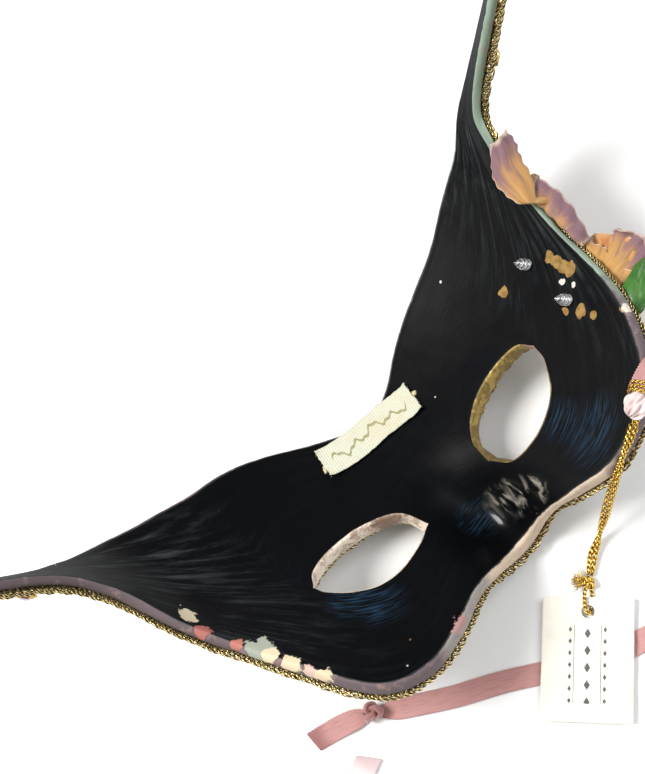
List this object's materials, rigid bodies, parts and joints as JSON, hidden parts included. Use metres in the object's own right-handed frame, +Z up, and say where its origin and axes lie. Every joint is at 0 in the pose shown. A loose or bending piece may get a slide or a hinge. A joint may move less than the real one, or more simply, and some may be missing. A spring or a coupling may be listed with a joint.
{
  "type": "venetian masquerade mask",
  "caption": "Half-face masquerade mask with swept wings, gimp braid, stones, fabric flowers, tie ribbons and a corded swing tag, lying face down.",
  "frame": {"origin": "on the resting plane, under the middle of the mask's outline without its ribbons and tag", "axes": "+X to the wearer's right wing, +Y to the forehead, +Z up into the hollow inside of the mask"},
  "size_m": [0.2556, 0.1974, 0.1192],
  "materials": {
    "papier_mache": "hand-brushed black lacquer inside, painted front",
    "gold_gimp": "metallic gold looped braid",
    "brass_cup": "polished",
    "violet_glass": "faceted and foil-backed",
    "plate_board": "painted green",
    "screw_steel": "bright zinc",
    "petal_fabric": "stiffened fabric, dyed mauve to orange",
    "crown_fabric": "stiffened fabric, dyed orange",
    "flower_heart": "flocked",
    "leaf_fabric": "waxed",
    "stem_wrap": "paper-wrapped wire",
    "label_weave": "woven cream tape",
    "dried_glue": "dried glue",
    "pink_satin": "satin with picot edges",
    "pale_satin": "satin with picot edges",
    "gold_cord": "twisted metallic gold",
    "card_stock": "uncoated ivory"
  },
  "bodies": {
    "mask": {"mask_shell": "papier_mache", "braid_lower_edge": "gold_gimp", "braid_upper_edge": "gold_gimp", "braid_wing_right": "gold_gimp", "braid_wing_left": "gold_gimp", "braid_eye_right": "gold_gimp", "braid_eye_left": "gold_gimp", "brow_gem_cups": "brass_cup", "brow_gems": "violet_glass", "wing_gem_cups": "brass_cup", "wing_gems": "violet_glass", "flower_plate": "plate_board", "flower_screws": "screw_steel", "flower_upper_petals": "petal_fabric", "flower_upper_crown": "crown_fabric", "flower_upper_centre": "flower_heart", "flower_upper_stem": "stem_wrap", "flower_lower_petals": "petal_fabric", "flower_lower_crown": "crown_fabric", "flower_lower_centre": "flower_heart", "flower_lower_stem": "stem_wrap", "leaf_lower": "leaf_fabric", "leaf_upper": "leaf_fabric", "label_strip": "label_weave", "label_glue": "dried_glue", "ribbon_right_puff": "pale_satin", "ribbon_right": "pink_satin", "ribbon_right_knot": "pink_satin", "ribbon_left_anchor": "pale_satin", "ribbon_left": "pale_satin", "tag_cord": "gold_cord", "tag_cord_hitch": "gold_cord"},
    "tag_knot": {"tag_knot": "gold_cord", "tag_tuft": "gold_cord"},
    "tag": {"tag_loop": "gold_cord", "tag_card": "card_stock"}
  },
  "joints": [
    {"name": "tag_swivel", "type": "hinge", "parent": "mask", "child": "tag_knot", "pos_m": [0.0046, -0.0646, 0.0018], "axis": [0, 0, 1], "range_deg": [-25, 20]},
    {"name": "tag_lift", "type": "hinge", "parent": "tag_knot", "child": "tag", "pos_m": [0.0046, -0.0646, 0.0018], "axis": [-0.6334, 0.7738, 0], "range_deg": [0, 95]}
  ]
}
